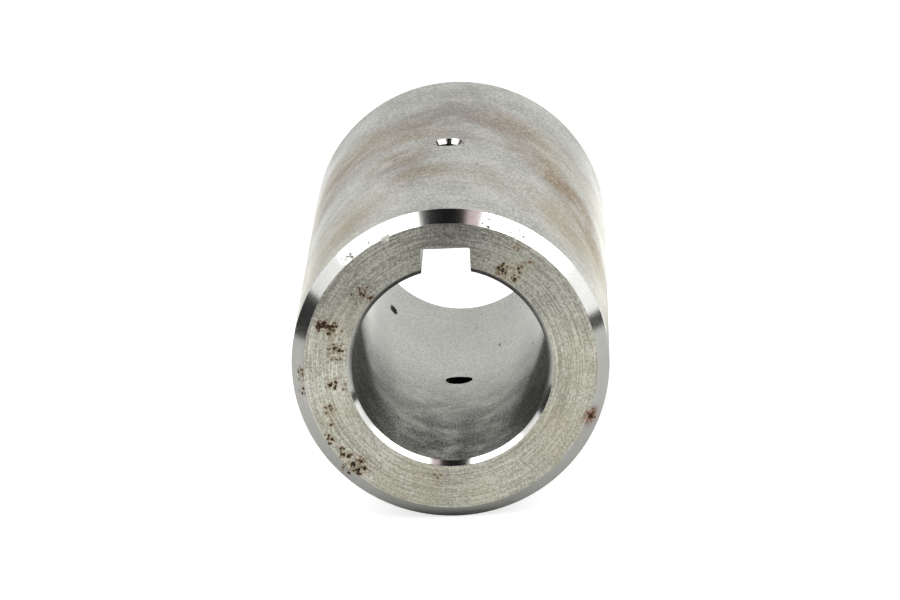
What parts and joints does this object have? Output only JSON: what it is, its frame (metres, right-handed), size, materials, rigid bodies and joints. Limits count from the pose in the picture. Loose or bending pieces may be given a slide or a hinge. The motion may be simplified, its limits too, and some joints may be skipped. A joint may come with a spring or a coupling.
{
  "type": "rigid sleeve coupling",
  "caption": "Keyed one-piece steel sleeve that joins two in-line shafts end to end, with set screws in a cross hole at half length.",
  "frame": {"origin": "on the bore's axis, half way along the sleeve", "axes": "+Y along the bore towards the rear end face, +Z from the axis through the middle of the keyway and the key set screw, +X to the right when looking along +Y"},
  "size_m": [0.041, 0.0794, 0.041],
  "materials": {
    "turned_steel": "turned carbon steel, bare, lightly oiled, with fine lathe marks and a few rust specks",
    "black_oxide_steel": "hardened alloy steel with a satin black oxide coat"
  },
  "bodies": {
    "sleeve": {"sleeve": "turned_steel"},
    "key_set_screw": {"key_set_screw": "black_oxide_steel"},
    "shaft_set_screw": {"shaft_set_screw": "black_oxide_steel"}
  },
  "joints": [
    {"name": "key_screw_travel", "type": "slide", "parent": "sleeve", "child": "key_set_screw", "axis": [0, 0, 1], "range_m": [-0.00079, 0.00635]},
    {"name": "shaft_screw_travel", "type": "slide", "parent": "sleeve", "child": "shaft_set_screw", "axis": [0, 0, -1], "range_m": [-0.00159, 0.00794]}
  ]
}
